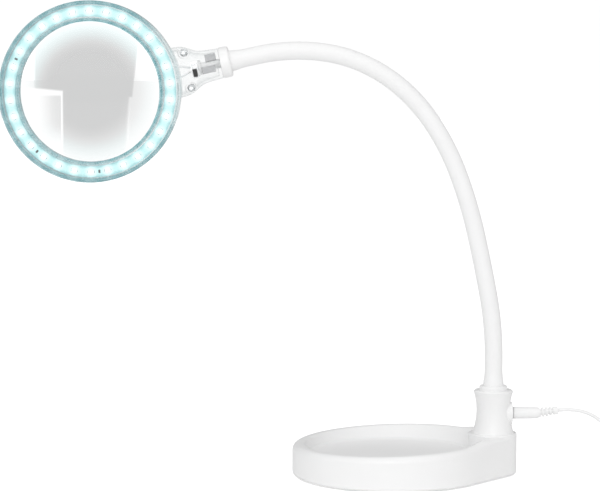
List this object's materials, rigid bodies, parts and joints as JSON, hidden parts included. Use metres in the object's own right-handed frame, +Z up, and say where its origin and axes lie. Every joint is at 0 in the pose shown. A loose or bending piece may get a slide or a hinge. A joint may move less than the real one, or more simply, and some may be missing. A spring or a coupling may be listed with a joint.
{
  "type": "ring light magnifier lamp",
  "caption": "Desktop magnifier: round lens in a clear ring with small lamps, on a bendable neck rising from a column on a round tray base, with a plug-in lead.",
  "frame": {"origin": "centre of the round base, on the surface it stands on", "axes": "+Z up, +X from the centre of the base to the column, -Y is the side that the lit face of the ring looks to"},
  "size_m": [0.4349, 0.1301, 0.3029],
  "materials": {
    "white_shell": "gloss",
    "white_sleeve": "satin",
    "clear_shell": "polished",
    "lens_glass": "polished",
    "lamp_board": "satin",
    "lamp_face": "gloss",
    "steel": "satin",
    "ballast_iron": "matte",
    "black_plastic": "satin",
    "pad_foam": "matte",
    "wire_jacket": "satin",
    "lead_jacket": "satin",
    "plug_plastic": "satin",
    "contact": "polished",
    "brass_pin": "polished"
  },
  "bodies": {
    "base": {"base_shell": "white_shell", "bottom_cover": "white_shell", "cover_screws": "steel", "foot_pad": "pad_foam", "ballast": "ballast_iron", "column": "white_shell", "column_screws": "steel", "dc_jack": "black_plastic", "jack_pin": "brass_pin", "neck_collar": "white_shell", "root_nut": "steel", "column_wires": "wire_jacket", "neck_core_0": "steel", "neck_sleeve_0": "white_sleeve", "plug_barrel": "contact", "plug_body": "plug_plastic", "lead": "lead_jacket", "lead_coil": "lead_jacket", "usb_plug": "plug_plastic", "usb_contact": "contact"},
    "neck_link_1": {"neck_core_1": "steel", "neck_sleeve_1": "white_sleeve"},
    "neck_link_2": {"neck_core_2": "steel", "neck_sleeve_2": "white_sleeve"},
    "neck_link_3": {"neck_core_3": "steel", "neck_sleeve_3": "white_sleeve"},
    "neck_link_4": {"neck_core_4": "steel", "neck_sleeve_4": "white_sleeve"},
    "neck_link_5": {"neck_core_5": "steel", "neck_sleeve_5": "white_sleeve"},
    "neck_link_6": {"neck_core_6": "steel", "neck_sleeve_6": "white_sleeve"},
    "neck_link_7": {"neck_core_7": "steel", "neck_sleeve_7": "white_sleeve"},
    "neck_tip": {"neck_core_8": "steel", "neck_sleeve_8": "white_sleeve", "ferrule": "white_shell", "swivel_spigot": "white_shell"},
    "head": {"front_shell": "clear_shell", "rear_shell": "clear_shell", "lens": "lens_glass", "led_board": "lamp_board", "leds": "lamp_face", "resistors": "black_plastic", "switch_body": "steel", "head_screws": "steel", "friction_blocks": "steel", "head_wires": "wire_jacket"},
    "switch": {"switch_knob": "black_plastic"}
  },
  "joints": [
    {"name": "neck_bend_1", "type": "hinge", "parent": "base", "child": "neck_link_1", "pos_m": [0.0644, 0, 0.0758], "axis": [0, -1, 0], "range_deg": [-15, 6]},
    {"name": "neck_side_2", "type": "hinge", "parent": "neck_link_1", "child": "neck_link_2", "pos_m": [0.06071, 0, 0.11597], "axis": [-0.9833, 0, -0.1822], "range_deg": [-15, 15]},
    {"name": "neck_bend_3", "type": "hinge", "parent": "neck_link_2", "child": "neck_link_3", "pos_m": [0.05248, 0, 0.15552], "axis": [0, -1, 0], "range_deg": [-15, 8]},
    {"name": "neck_side_4", "type": "hinge", "parent": "neck_link_3", "child": "neck_link_4", "pos_m": [0.04068, 0, 0.19413], "axis": [-0.9336, 0, -0.3584], "range_deg": [-15, 15]},
    {"name": "neck_bend_5", "type": "hinge", "parent": "neck_link_4", "child": "neck_link_5", "pos_m": [0.02155, 0, 0.22959], "axis": [0, -1, 0], "range_deg": [-18, 10]},
    {"name": "neck_side_6", "type": "hinge", "parent": "neck_link_5", "child": "neck_link_6", "pos_m": [-0.00779, 0, 0.25699], "axis": [-0.527, 0, -0.8499], "range_deg": [-15, 15]},
    {"name": "neck_bend_7", "type": "hinge", "parent": "neck_link_6", "child": "neck_link_7", "pos_m": [-0.04559, 0, 0.27034], "axis": [0, -1, 0], "range_deg": [-18, 12]},
    {"name": "neck_bend_8", "type": "hinge", "parent": "neck_link_7", "child": "neck_tip", "pos_m": [-0.08575, 0, 0.26855], "axis": [0, -1, 0], "range_deg": [-18, 15]},
    {"name": "head_swivel", "type": "hinge", "parent": "neck_tip", "child": "head", "pos_m": [-0.1921, 0, 0.24555], "axis": [0.9774, 0, 0.2113], "range_deg": [-90, 90]},
    {"name": "switch_slide", "type": "slide", "parent": "head", "child": "switch", "axis": [-0.2113, 0, 0.9774], "range_m": [0, 0.004]}
  ]
}
